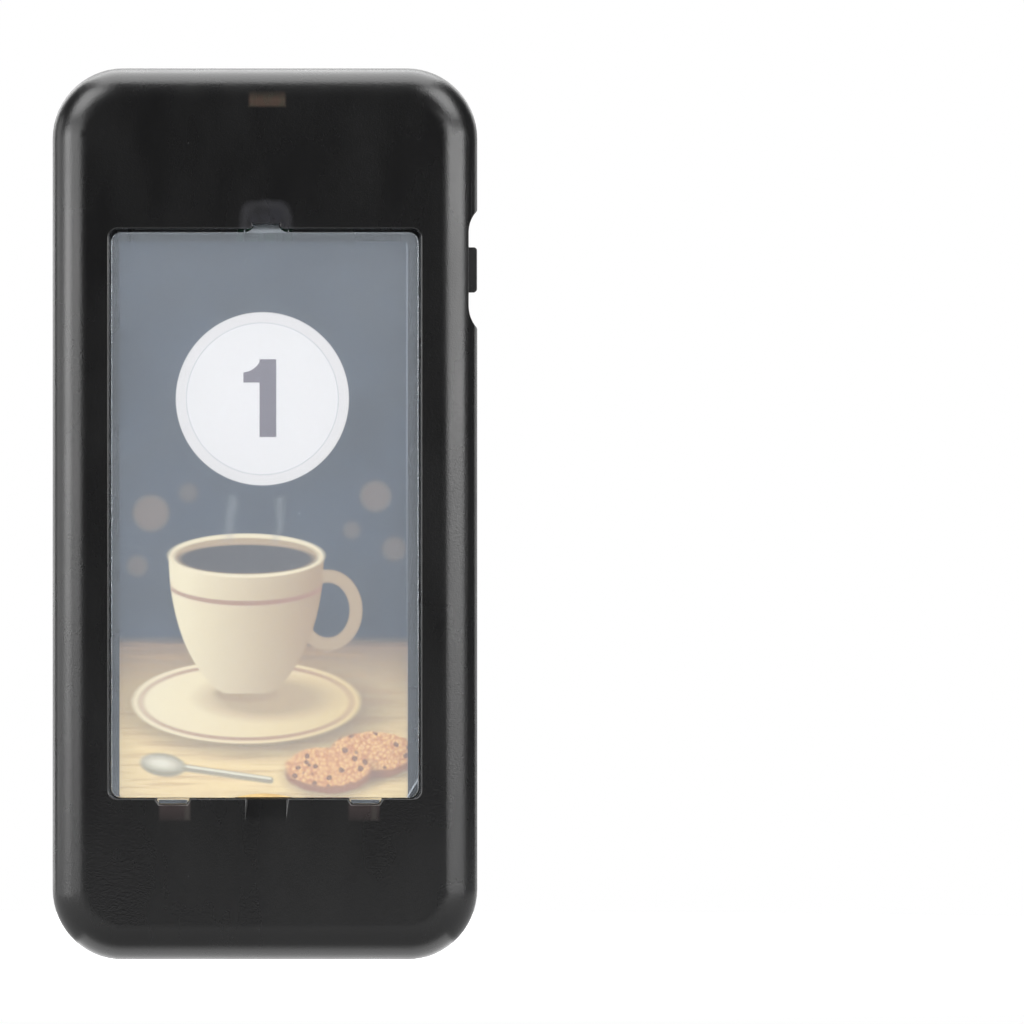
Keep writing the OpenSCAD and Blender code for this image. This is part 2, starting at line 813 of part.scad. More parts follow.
// Small tapered, wedge-ended tab on the pane's lower edge
module cover_tab(x) {
    end = cover_low - tab_drop;
    top_z = cover_face_z - tab_bevel;
    translate([x, 0, 0]) intersection() {
        translate([-tab_w, 0, 0]) rotate([90, 0, 90]) linear_extrude(2 * tab_w)
            polygon([[cover_low + tab_root, top_z], [cover_low, top_z], [end, cover_back_z + tab_edge_t],
                     [end, cover_back_z], [cover_low + tab_root, cover_back_z]]);
        linear_extrude(half_t) tab_outline(cover_low + tab_root + past, end - weld, 0);
    }
}

// Front view of a tab, wider by a gap on each side
module tab_outline(high, low, gap) {
    wide = tab_w / 2 + gap;
    narrow = wide - tab_taper;
    polygon([[-wide, high], [-wide, cover_low], [-narrow, low],
             [narrow, low], [wide, cover_low], [wide, high]]);
}

// Printed card on the tray floor
module insert_card() {
    color(c_card) stand()
        plate(card_x, card_w, card_low, card_top, card_r, tray_floor_z, tray_floor_z + card_t);
}

// ---------------------------------------------------------------- side key and its switch

// Key: finger pad with rounded ends, retaining flange and a nib that pushes the switch
module side_key() {
    root_x = flange_x + flange_t - weld;
    round_x = half_w - key_corner_r;
    color(c_black) stand() {
        translate([0, 0, -key_w / 2]) linear_extrude(key_w) {
            translate([root_x, key_high - key_l / 2]) square([round_x - root_x, key_l]);
            translate([round_x - weld, key_high - key_l / 2 + key_corner_r])
                square([key_corner_r + weld, key_l - 2 * key_corner_r]);
            for (side = [-1, 1])
                translate([round_x, key_high + side * (key_l / 2 - key_corner_r)]) circle(key_corner_r);
        }
        block([flange_x, key_high - flange_l / 2, -flange_w / 2],
              [flange_x + flange_t, key_high + flange_l / 2, flange_w / 2]);
        block([nib_x, key_high - nib_l / 2, -nib_w / 2], [flange_x + weld, key_high + nib_l / 2, nib_w / 2]);
    }
}

// A block centred on the key's height, standing on the board's back, from x0 to x1
module switch_block(x0, x1) {
    block([x0, key_high - switch_l / 2, board_back_z - switch_t],
          [x1, key_high + switch_l / 2, board_back_z]);
}

// The stem's own shape from x0 to x1, grown by the given gap
module stem_block(x0, x1, gap) {
    block([x0, key_high - stem_l / 2 - gap, stem_z - stem_w / 2 - gap],
          [x1, key_high + stem_l / 2 + gap, stem_z + stem_w / 2 + gap]);
}

// Moulded switch housing with the pocket that its stem slides in
module switch_body() {
    color(c_chip) stand() difference() {
        switch_block(switch_x0, switch_x1);
        stem_block(stem_x0 - key_travel - stem_gap, switch_x1 + past, stem_gap);
    }
}

// Nickel plate over the switch's face
module switch_plate() {
    color(c_nickel) stand() difference() {
        switch_block(switch_x1, switch_x1 + plate_t);
        stem_block(switch_x1 - past, switch_x1 + past, stem_gap);
    }
}

// Switch stem that the key's nib pushes
module switch_stem() {
    color(c_white) stand() stem_block(stem_x0, stem_x1, 0);
}

// ---------------------------------------------------------------- charging contacts

// Formed strip: face, hooked lower leg, and an upper leg that stands on the board
module charge_contact(x) {
    high = contact_low + contact_h;
    face_z = contact_face_z;
    lean_z = contact_face_z + contact_lean;
    hook_z = foot_z + foot_wall + weld;
    t = contact_t;
    hook_end = contact_low + t + contact_hook;
    foot_end = high - t + contact_foot;
    translate([x - contact_w / 2, 0, 0]) rotate([90, 0, 90]) linear_extrude(contact_w)
        polygon([[high, face_z], [contact_bend, face_z], [contact_low, lean_z], [contact_low, hook_z + t],
                 [hook_end, hook_z + t], [hook_end, hook_z], [contact_low + t, hook_z],
                 [contact_low + t, lean_z + t], [contact_bend, face_z + t], [high - t, face_z + t],
                 [high - t, board_back_z], [foot_end, board_back_z], [foot_end, board_back_z - t],
                 [high, board_back_z - t]]);
}

module charge_contact_left() {
    color(c_nickel) stand() charge_contact(-contact_x);
}

module charge_contact_right() {
    color(c_nickel) stand() charge_contact(contact_x);
}

// ---------------------------------------------------------------- circuit board and what is on it

// Board with holes for the bosses and a bay beside the key
module circuit_board() {
    color(c_board) stand() difference() {
        plate(0, board_w, board_low, board_top, board_corner_r, board_back_z, board_face_z);
        at_screws() translate([0, 0, board_back_z - past]) cylinder(r = boss_hole_r, h = board_t + 2 * past);
        block([board_w / 2 - board_notch_depth, key_high - board_notch_h / 2, board_back_z - past],
              [board_w / 2 + past, key_high + board_notch_h / 2, board_face_z + past]);
    }
}

// Six lamps, three above and three below the window
module led_housings() {
    color(c_white) stand() for (site = led_sites)
        translate([site[0], site[1], board_face_z]) difference() {
            translate([-led_l / 2, -led_w / 2, 0]) cube([led_l, led_w, led_t]);
            translate([0, 0, led_t - led_cup]) cylinder(r = led_cup_r, h = led_cup + past);
        }
}

// Flat resin that fills each lamp's cup
module led_lenses() {
    color(c_phosphor) stand() for (site = led_sites)
        translate([site[0], site[1], board_face_z + led_t - led_cup])
            cylinder(r = led_cup_r - lens_gap, h = led_cup - lens_sunk);
}

// Square chip package with a row of leads on each of its leaded sides
module chip(at, size, leads, sides) {
    translate([at[0], at[1], board_face_z]) {
        translate([-size[0] / 2, -size[1] / 2, chip_clear]) cube([size[0], size[1], size[2] - chip_clear]);
        for (turn = sides, k = [0:leads[0] - 1]) rotate(turn)
            translate([size[turn % 180 == 0 ? 0 : 1] / 2 - weld, (k - leads[0] / 2 + 1 / 4) * leads[1], 0])
                cube([lead_reach + weld, leads[1] / 2, lead_t]);
    }
}

module microcontroller() {
    color(c_chip) stand() chip(controller_at, controller_size, controller_leads, controller_sides);
}

module charge_controller() {
    color(c_chip) stand() chip(charger_at, charger_size, charger_leads, charger_sides);
}

// A plate on the board's face, centred at a place
module board_plate(at, size, r) {
    plate(at[0], size[0], at[1] - size[1] / 2, at[1] + size[1] / 2, r, board_face_z, board_face_z + size[2]);
}

// Folded tin can over the radio
module radio_shield() {
    inner = [shield_size[0] - 2 * shield_t, shield_size[1] - 2 * shield_t];
    low = shield_at[1] - inner[1] / 2;
    color(c_tin) stand() difference() {
        board_plate(shield_at, shield_size, shield_r);
        plate(shield_at[0], inner[0], low, low + inner[1], shield_r - shield_t,
            board_face_z - past, board_face_z + shield_size[2] - shield_roof);
    }
}

module crystal_can() {
    color(c_tin) stand() board_plate(crystal_at, crystal_size, crystal_r);
}

// Wound inductor of the charging circuit: foot, core and cap
module power_inductor() {
    core_low = inductor_foot[2] - weld;
    color(c_ferrite) stand() translate([inductor_at[0], inductor_at[1], board_face_z]) {
        translate([-inductor_foot[0] / 2, -inductor_foot[1] / 2, 0]) cube(inductor_foot);
        translate([0, 0, core_low]) cylinder(r = inductor_core_r, h = inductor_core_z + weld - core_low);
        translate([0, 0, inductor_core_z]) cylinder(r = inductor_cap_r, h = inductor_cap_t);
    }
}

// The same small block on the board's face at each site
module chip_parts(sites, size) {
    for (site = sites)
        translate([site[0] - size[0] / 2, site[1] - size[1] / 2, board_face_z]) cube(size);
}

module chip_capacitors() {
    color(c_ceramic) stand() chip_parts(capacitor_sites, capacitor_size);
}

module chip_resistors() {
    color(c_chip) stand() chip_parts(resistor_sites, resistor_size);
}

// Wound whip antenna lying across the top of the board, with its foot on the board
module antenna_coil() {
    foot_x = coil_x0 - 1.4;
    path = concat(
        [[foot_x, coil_y, board_back_z - 0.05], [foot_x, coil_y, coil_z + coil_r + 0.4],
         [coil_x0 - 0.9, coil_y, coil_z + coil_r]],
        [for (k = [0:coil_turns * coil_steps])
            [coil_x0 + coil_pitch * k / coil_steps,
             coil_y + coil_r * sin(360 * k / coil_steps),
             coil_z + coil_r * cos(360 * k / coil_steps)]]);
    color(c_copper) stand() wire(path, coil_wire_r);
}

// ---------------------------------------------------------------- buzzer

module buzzer_case() {
    color(c_chip) stand() translate([buzzer_x, buzzer_y, board_back_z - buzzer_t]) difference() {
        cylinder(r = buzzer_r, h = buzzer_t);
        translate([0, 0, buzzer_wall]) cylinder(r = buzzer_r - buzzer_wall, h = buzzer_t - 2 * buzzer_wall);
        translate([0, 0, -past]) cylinder(r = sound_hole_r, h = buzzer_wall + 2 * past);
    }
}

// Thin steel disc inside the buzzer
module buzzer_diaphragm() {
    color(c_tin) stand() translate([buzzer_x, buzzer_y, board_back_z - buzzer_t + diaphragm_z])
        cylinder(r = buzzer_r - buzzer_wall - diaphragm_gap, h = diaphragm_t);
}

// ---------------------------------------------------------------- battery

module battery_cell() {
    color(c_tin) stand()
        plate(0, battery_w, battery_low, battery_top, cell_corner_r, battery_back_z, battery_face_z);
}

// Double-sided foam between the battery and the board
module battery_foam() {
    color(c_white) stand()
        block([-foam_w / 2, battery_low + foam_inset[0], battery_face_z],
              [foam_w / 2, battery_top - foam_inset[1], board_back_z]);
}

// Guard board across the battery's upper edge
module battery_board() {
    color(c_board) stand()
        block([-guard_w / 2, battery_top, guard_z[0]], [guard_w / 2, battery_top + guard_h, guard_z[1]]);
}

// Socket on the board below the battery, open upwards for the plug
module battery_socket() {
    room = socket_w / 2 - socket_side;
    color(c_white) stand() difference() {
        block([-socket_w / 2, socket_y[0], board_back_z - socket_t],
              [socket_w / 2, socket_y[1], board_back_z]);
        block([-room, socket_y[0] + socket_end, board_back_z - socket_t + socket_skin],
              [room, socket_y[1] + past, board_back_z - socket_skin]);
    }
}

module battery_plug() {
    half = socket_w / 2 - socket_side - plug_fit;
    low = socket_y[0] + socket_end + 2 * plug_fit;
    back_z = board_back_z - socket_t + socket_skin + plug_fit;
    color(c_white) stand()
        block([-half, low, back_z], [half, plug_end, board_back_z - socket_skin - plug_fit]);
}

module battery_lead_red() {
    color(c_red) stand() wire(smooth_line(red_route, lead_steps), lead_r);
}

module battery_lead_black() {
    color(c_chip) stand() wire(smooth_line(black_route, lead_steps), lead_r);
}

// ---------------------------------------------------------------- vibration motor

// A rod along x on the motor's axis
module rod(x0, r, l) {
    translate([x0, motor_y, motor_z]) rotate([0, 90, 0]) cylinder(r = r, h = l);
}

// Drawn steel can, closed at the shaft's end but for the bush
module motor_can() {
    l = motor_x1 - motor_x0;
    color(c_tin) stand() difference() {
        rod(motor_x0, motor_r, l);
        rod(motor_x0 - past, motor_r - motor_can_t, l - motor_can_t + past);
        rod(motor_x0, bush_r, l + past);
    }
}

module motor_end_cap() {
    color(c_chip) stand() rod(motor_x0, motor_r - motor_can_t - motor_fit, cap_l);
}

// Brass bush that the shaft runs in
module motor_bush() {
    color(c_brass) stand() difference() {
        rod(motor_x1 - bush_l + bush_proud, bush_r, bush_l);
        rod(motor_x1 - bush_l, shaft_r + shaft_gap, bush_l + past);
    }
}

module motor_magnet() {
    color(c_magnet) stand() difference() {
        rod(magnet_x0, motor_r - motor_can_t - motor_fit, magnet_l);
        rod(magnet_x0 - past, motor_r - motor_can_t - motor_fit - magnet_t, magnet_l + 2 * past);
    }
}

module motor_rotor() {
    color(c_copper) stand() difference() {
        rod(rotor_x0, rotor_r, rotor_l);
        rod(rotor_x0 - past, shaft_r, rotor_l + 2 * past);
    }
}

module motor_shaft() {
    color(c_tin) stand() rod(shaft_x0, shaft_r, shaft_end - shaft_x0);
}

// Eccentric weight, its heavy side hanging down
module motor_weight() {
    color(c_weight) stand() translate([weight_x0, motor_y, motor_z]) rotate([90, 0, 90])
        linear_extrude(weight_l) difference() {
            union() {
                circle(hub_r);
                intersection() {
                    circle(weight_r);
                    translate([-weight_r, -weight_r]) square([2 * weight_r, weight_r]);
                }
            }
            circle(shaft_r);
        }
}

// Rubber boot that holds the motor against the board
module motor_boot() {
    color(c_chip) stand() difference() {
        block([boot_x[0], motor_y - boot_half, -inner_z + boot_gap[0]],
              [boot_x[1], motor_y + boot_half, board_back_z - boot_gap[1]]);
        rod(motor_x0, motor_r + motor_fit, motor_x1 - motor_x0);
    }
}

module motor_lead_red() {
    color(c_red) stand() wire(smooth_line(motor_red_route, lead_steps), motor_lead_r);
}

module motor_lead_black() {
    color(c_chip) stand() wire(smooth_line(motor_black_route, lead_steps), motor_lead_r);
}

front_shell();
back_shell();
case_screws();
window_cover();
insert_card();
side_key();
charge_contact_left();
charge_contact_right();
circuit_board();
led_housings();
led_lenses();
microcontroller();
radio_shield();
crystal_can();
charge_controller();
power_inductor();
chip_capacitors();
chip_resistors();
antenna_coil();
buzzer_case();
buzzer_diaphragm();
battery_cell();
battery_foam();
battery_board();
battery_socket();
battery_plug();
battery_lead_red();
battery_lead_black();
motor_can();
motor_end_cap();
motor_bush();
motor_magnet();
motor_rotor();
motor_shaft();
motor_weight();
motor_boot();
motor_lead_red();
motor_lead_black();
switch_body();
switch_plate();
switch_stem();
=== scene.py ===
import copy
import json
import math

import bmesh
import bpy
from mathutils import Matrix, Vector


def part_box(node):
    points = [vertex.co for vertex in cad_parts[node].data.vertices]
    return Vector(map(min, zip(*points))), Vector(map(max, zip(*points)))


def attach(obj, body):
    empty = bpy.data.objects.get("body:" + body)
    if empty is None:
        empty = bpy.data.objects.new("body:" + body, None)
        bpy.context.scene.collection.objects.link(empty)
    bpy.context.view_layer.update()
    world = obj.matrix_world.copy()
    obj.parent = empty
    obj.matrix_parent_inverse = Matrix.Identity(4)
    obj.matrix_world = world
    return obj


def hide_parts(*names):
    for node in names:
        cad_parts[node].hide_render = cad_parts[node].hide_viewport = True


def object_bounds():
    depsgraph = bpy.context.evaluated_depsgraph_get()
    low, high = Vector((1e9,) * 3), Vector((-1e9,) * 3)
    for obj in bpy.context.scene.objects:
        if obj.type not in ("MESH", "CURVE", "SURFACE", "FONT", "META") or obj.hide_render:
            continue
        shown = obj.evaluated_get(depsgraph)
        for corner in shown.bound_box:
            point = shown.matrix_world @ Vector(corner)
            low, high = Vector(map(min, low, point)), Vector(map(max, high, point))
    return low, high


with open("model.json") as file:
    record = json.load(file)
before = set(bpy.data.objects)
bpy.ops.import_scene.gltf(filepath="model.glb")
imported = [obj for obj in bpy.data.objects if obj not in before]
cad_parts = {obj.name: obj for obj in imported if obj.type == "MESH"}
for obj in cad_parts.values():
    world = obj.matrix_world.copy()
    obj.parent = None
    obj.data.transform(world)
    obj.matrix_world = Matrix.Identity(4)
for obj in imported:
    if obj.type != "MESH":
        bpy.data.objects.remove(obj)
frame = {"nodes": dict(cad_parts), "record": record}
cad_box = [list(corner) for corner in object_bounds()]

# ---------------------------------------------------------------- places and sizes, in metres, from the frame

MM = 0.001
CASE_LOW, CASE_HIGH = Vector(cad_box[0]), Vector(cad_box[1])
MIDDLE = (CASE_LOW + CASE_HIGH) / 2
CARD_LOW, CARD_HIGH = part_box("insert_card")
COVER_LOW, COVER_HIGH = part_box("window_cover")

# in millimetres, as the drawings are
SKIN_BACK = -5.6  # from front to back: the front shell's skin lies before this
TONGUE_RISE = 2.9  # how far the cover's tongue reaches above the window
WINDOW_TOP = COVER_HIGH.z / MM - TONGUE_RISE


# ---------------------------------------------------------------- shader node helpers

def node(tree, kind, inputs=None, **settings):
    """A shader node. Each input is a value or another node's output."""
    made = tree.nodes.new("ShaderNode" + kind)
    for name, value in settings.items():
        setattr(made, name, value)
    for name, value in (inputs or {}).items():
        if isinstance(value, bpy.types.NodeSocket):
            tree.links.new(value, made.inputs[name])
        else:
            made.inputs[name].default_value = value
    return made


def sums(tree, operation, *values, clamp=False):
    """The output of a Math node, each of whose values is a number or an output."""
    return node(tree, "Math", dict(enumerate(values)), operation=operation, use_clamp=clamp).outputs[0]


def vectors(tree, operation, *values):
    """The output of a Vector Math node, a vector or, for a length or a product, a number."""
    made = node(tree, "VectorMath", dict(enumerate(values)), operation=operation)
    return made.outputs["Value" if operation in ("LENGTH", "DOT_PRODUCT") else "Vector"]


def spread(tree, value, low, high, to_low=0.0, to_high=1.0):
    """A value carried from one range to another, and held at its ends."""
    return node(tree, "MapRange", {0: value, 1: low, 2: high, 3: to_low, 4: to_high}).outputs[0]


def blend(tree, share, first, second):
    """Two colours, each a value or an output, mixed by share."""
    made = node(tree, "Mix", {0: share}, data_type="RGBA")
    for socket, value in ((made.inputs[6], first), (made.inputs[7], second)):
        if isinstance(value, bpy.types.NodeSocket):
            tree.links.new(value, socket)
        else:
            socket.default_value = (*value, 1)
    return made.outputs[2]


def object_place(tree):
    """The place on the object, in metres in the shared frame."""
    return node(tree, "TexCoord").outputs["Object"]


def noise(tree, place, size, detail=3.0, stretch=None):
    """Noise whose lumps are about size across, in metres, drawn out along an axis by stretch."""
    if stretch:
        place = vectors(tree, "MULTIPLY", place, stretch)
    return node(tree, "TexNoise", {"Vector": place, "Scale": 1 / size, "Detail": detail}).outputs["Fac"]


def specks(tree, place, cell, share, radius):
    """1 on small round specks, 0 elsewhere: one in some of the cells, none larger than radius."""
    cells = node(tree, "TexVoronoi", {"Vector": place, "Scale": 1 / cell})
    chance = node(tree, "SeparateColor", {0: cells.outputs["Color"]})
    size = sums(tree, "MULTIPLY", chance.outputs["Green"], radius / cell)
    near = sums(tree, "LESS_THAN", cells.outputs["Distance"], size)
    chosen = sums(tree, "LESS_THAN", chance.outputs["Red"], share)
    return sums(tree, "MULTIPLY", near, chosen)


def new_material(name, **sockets):
    """A material with one Principled shader whose sockets are set, its tree and the shader."""
    made = bpy.data.materials.new(name)
    made.use_nodes = True
    shader = made.node_tree.nodes["Principled BSDF"]
    for key, value in sockets.items():
        shader.inputs[key.replace("_", " ")].default_value = value
    return made, made.node_tree, shader


def link(tree, value, shader, socket):
    """Feeds an output into one of the shader's sockets."""
    tree.links.new(value, shader.inputs[socket])


def roughen(tree, shader, height, depth, strength=1.0):
    """A relief in which a height of 1 stands for depth, in metres."""
    bump = node(tree, "Bump", {"Height": height, "Distance": depth, "Strength": strength})
    link(tree, bump.outputs[0], shader, "Normal")


class Canvas:
    """Flat shapes laid over a colour, drawn in millimetres across (x) and along a second axis."""

    def __init__(self, tree, place, colour, second="Z"):
        self.tree = tree
        self.colour = colour
        split = node(tree, "SeparateXYZ", {0: vectors(tree, "MULTIPLY", place, (1 / MM, 1 / MM, 1 / MM))})
        self.depth = split.outputs["Y"]
        drawn = {0: split.outputs["X"], 1: split.outputs[second], 2: 1.0}
        self.at = node(tree, "CombineXYZ", drawn).outputs[0]

    def wobbled(self, size, amount):
        """The same canvas with its lines made uneven."""
        lumps = node(self.tree, "TexNoise", {"Vector": self.at, "Scale": 1 / size, "Detail": 3.0})
        centred = vectors(self.tree, "SUBTRACT", lumps.outputs["Color"], (0.5, 0.5, 0.5))
        other = copy.copy(self)
        other.at = vectors(self.tree, "MULTIPLY_ADD", centred, (amount, amount, 0), self.at)
        return other

    def along(self, start, end):
        """0 at start and 1 at end, beyond them too."""
        span = Vector(end) - Vector(start)
        slope = span / span.length_squared
        return vectors(self.tree, "DOT_PRODUCT", self.at, (slope.x, slope.y, -slope.dot(Vector(start))))

    def left_of(self, start, end, soft):
        """1 on the left of a line, seen from start to end."""
        way = (Vector(end) - Vector(start)).normalized()
        normal = Vector((-way.y, way.x))
        side = vectors(self.tree, "DOT_PRODUCT", self.at, (normal.x, normal.y, -normal.dot(Vector(start))))
        return spread(self.tree, side, -soft / 2, soft / 2)

    def shape(self, corners, soft=0.12):
        """1 inside a convex outline whose corners go round anticlockwise."""
        mask = None
        for start, end in zip(corners, corners[1:] + corners[:1]):
            part = self.left_of(start, end, soft)
            mask = part if mask is None else sums(self.tree, "MINIMUM", mask, part)
        return mask

    def box(self, low, high, soft=0.12):
        """1 inside an upright rectangle."""
        return self.shape([low, (high[0], low[1]), high, (low[0], high[1])], soft)

    def radius(self, centre, radii, turn=0):
        """0 at an ellipse's centre and 1 on its line, turn being in degrees."""
        a = math.radians(turn)
        place = self.at
        if turn:
            place = node(self.tree, "VectorRotate", {"Vector": place, "Center": (*centre, 0), "Angle": -a},
                         rotation_type="Z_AXIS").outputs[0]
        scale = (1 / radii[0], 1 / radii[1], 0)
        shift = (-centre[0] / radii[0], -centre[1] / radii[1], 0)
        return vectors(self.tree, "LENGTH", vectors(self.tree, "MULTIPLY_ADD", place, scale, shift))

    def ellipse(self, centre, radii, soft=0.12, turn=0):
        """1 inside an ellipse that is turned anticlockwise by turn degrees."""
        half = soft / 2 / min(radii)
        return spread(self.tree, self.radius(centre, radii, turn), 1 + half, 1 - half)

    def cushion(self, centre, radii, soft=0.12):
        """1 inside a box with generously rounded corners."""
        scale = (1 / radii[0], 1 / radii[1], 0)
        shift = (-centre[0] / radii[0], -centre[1] / radii[1], 0)
        place = vectors(self.tree, "ABSOLUTE", vectors(self.tree, "MULTIPLY_ADD", self.at, scale, shift))
        split = node(self.tree, "SeparateXYZ", {0: place})
        squareness = 3.5
        across = sums(self.tree, "POWER", split.outputs[0], squareness)
        up = sums(self.tree, "POWER", split.outputs[1], squareness)
        out = sums(self.tree, "POWER", sums(self.tree, "ADD", across, up), 1 / squareness)
        half = soft / 2 / min(radii)
        return spread(self.tree, out, 1 + half, 1 - half)

    def ring(self, centre, radii, width, soft=0.08):
        """1 on an ellipse's line."""
        outer = self.ellipse(centre, [r + width / 2 for r in radii], soft)
        inner = self.ellipse(centre, [r - width / 2 for r in radii], soft)
        return self.without(outer, inner)

    def stroke(self, start, end, width, soft=0.08):
        """1 on a straight line with round ends."""
        span = Vector(end) - Vector(start)
        share = sums(self.tree, "ADD", self.along(start, end), 0.0, clamp=True)
        nearest = vectors(self.tree, "MULTIPLY_ADD", (span.x, span.y, 0), share, (*start, 1))
        gap = vectors(self.tree, "LENGTH", vectors(self.tree, "SUBTRACT", self.at, nearest))
        return spread(self.tree, gap, width / 2 + soft / 2, width / 2 - soft / 2)

    def both(self, first, second):
        """1 where the two masks meet."""
        return sums(self.tree, "MULTIPLY", first, second)

    def without(self, first, second):
        """1 in the first mask where the second isn't."""
        return sums(self.tree, "MULTIPLY", first, sums(self.tree, "SUBTRACT", 1.0, second))

    def either(self, first, second):
        """The stronger of the two masks."""
        return sums(self.tree, "MAXIMUM", first, second)

    def paint(self, colour, mask, strength=None):
        """Lays a colour, or an output with one, over what is there."""
        if strength is not None:
            mask = sums(self.tree, "MULTIPLY", mask, strength)
        self.colour = blend(self.tree, mask, self.colour, colour)


# ---------------------------------------------------------------- the case's plastics

def moulded_black(name, tone, roughness, grain_depth):
    """Black moulded plastic: cloudy tone, uneven gloss and a fine spark-eroded grain."""
    made, tree, shader = new_material(name, IOR=1.5)
    place = object_place(tree)
    cloud = spread(tree, noise(tree, place, 11 * MM, 4), 0.3, 0.7)
    colour = blend(tree, cloud, [c * 0.85 for c in tone], [c * 1.2 for c in tone])
    smear = noise(tree, place, 6 * MM, 5, (1, 1, 0.4))
    link(tree, spread(tree, smear, 0.3, 0.7, roughness - 0.035, roughness + 0.035), shader, "Roughness")
    coarse = noise(tree, place, 0.3 * MM, 2)
    fine = noise(tree, place, 0.16 * MM, 2)
    roughen(tree, shader, sums(tree, "ADD", coarse, fine), grain_depth)
    return made, tree, shader, place, colour


def smoked_plastic():
    """The front shell: glossier, with soft patches of painted light where parts right behind its skin show
    through it.
    """
    tone = (0.0033, 0.0033, 0.0035)
    made, tree, shader, place, colour = moulded_black("smoked_plastic", tone, 0.28, 0.012 * MM)
    canvas = Canvas(tree, place, colour)
    on_front = spread(tree, canvas.depth, SKIN_BACK, SKIN_BACK - 0.4)
    shown = canvas.wobbled(0.8, 0.5)
    patches = spread(tree, noise(tree, place, 1.1 * MM, 2), 0.38, 0.62)

    def paint_light_through_skin(mask, tone, strength=1.0):
        """Paints the light that shows through the skin, on the front only."""
        canvas.paint(tone, sums(tree, "MULTIPLY", mask, on_front), strength)

    # painted light through the skin at the lanyard eye, which fades upwards
    eye = canvas.box((-1.85, 100.4), (2.4, 102.4), 0.35)
    eye_light_tone = blend(tree, patches, (0.032, 0.028, 0.021), (0.040, 0.027, 0.021))
    paint_light_through_skin(eye, eye_light_tone, spread(tree, canvas.along((0, 101.2), (0, 102.3)), 0, 1, 1.0, 0.0))

    # painted light through the skin over the cover's tongue, paler round its rim
    tongue_middle = (0.12, 86.2)
    above = canvas.left_of((-5, WINDOW_TOP), (5, WINDOW_TOP), 0.1)
    tongue = canvas.both(above, shown.cushion(tongue_middle, (2.95, 3.05), 0.7))
    rim = canvas.without(tongue, shown.cushion(tongue_middle, (2.3, 2.4), 0.7))
    paint_light_through_skin(tongue, blend(tree, patches, (0.011, 0.011, 0.012), (0.016, 0.016, 0.019)))
    paint_light_through_skin(rim, (0.025, 0.025, 0.027), 0.55)

    # painted light through the skin over the pockets of the cover's two tabs, lighter upwards, each with a
    # paler right side
    for middle, right in ((-10.6, -8.85), (11.65, 13.1)):
        pocket = canvas.box((middle - 1.8, 16.5), (middle + 1.8, 18.5), 0.3)
        upwards = spread(tree, canvas.along((middle, 16), (middle, 18)), 0, 1, 0.2, 1.0)
        paint_light_through_skin(pocket, (0.022, 0.016, 0.016), upwards)
        side = canvas.box((right - 0.55, 16.6), (right, 18.9), 0.4)
        paint_light_through_skin(side, (0.036, 0.034, 0.030), 0.5)

    dust = specks(tree, place, 0.9 * MM, 0.012, 0.07 * MM)
    canvas.paint((0.08, 0.08, 0.08), dust, 0.5)
    link(tree, canvas.colour, shader, "Base Color")
    return made


def black_plastic():
    """The back shell: matt, with a little dust."""
    tone = (0.021, 0.021, 0.0215)
    made, tree, shader, place, colour = moulded_black("black_plastic", tone, 0.46, 0.018 * MM)
    canvas = Canvas(tree, place, colour)
    worn = canvas.wobbled(4, 0.9)
    # a round mark left by something that lay on the back, and a short scratch
    middle = (14.7, 60)
    pressed = sums(tree, "MULTIPLY", worn.ellipse(middle, (5.4, 5.4), 2), 0.4)
    witness = canvas.either(worn.ring(middle, (5.7, 5.7), 0.9, 1.2), pressed)
    on_back = spread(tree, canvas.depth, 5, 6)
    canvas.paint((0.05, 0.05, 0.052), canvas.both(witness, on_back), 0.42)
    scratch = canvas.stroke((-10.4, 57.2), (-9.9, 59.2), 0.12, 0.1)
    canvas.paint((0.08, 0.08, 0.08), canvas.both(scratch, on_back), 0.6)
    dust = specks(tree, place, 0.6 * MM, 0.035, 0.075 * MM)
    canvas.paint((0.22, 0.22, 0.22), dust, 0.6)
    link(tree, canvas.colour, shader, "Base Color")
    return made


def key_plastic():
    """The side key: dark, with dust in its grain."""
    tone = (0.007, 0.007, 0.0074)
    made, tree, shader, place, colour = moulded_black("key_plastic", tone, 0.42, 0.014 * MM)
    dust = specks(tree, place, 0.45 * MM, 0.08, 0.1 * MM)
    dusty = blend(tree, sums(tree, "MULTIPLY", dust, 0.5), colour, (0.12, 0.12, 0.12))
    link(tree, dusty, shader, "Base Color")
    return made


# ---------------------------------------------------------------- the clear cover

HAZE = (0.84, 0.90, 0.97)
SCRATCHES = [((-15.6, 50.1), (-15.0, 50.6)), ((-15.7, 49.2), (-15.5, 48.6)), ((-15.2, 48.8), (-14.4, 48.5)),
             ((-9.6, 62.3), (-9.0, 63.2)), ((-2.6, 81.6), (-2.1, 82.6)), ((-15.3, 70.9), (-15.2, 71.4)),
             ((13.2, 78.6), (13.1, 79.4))]


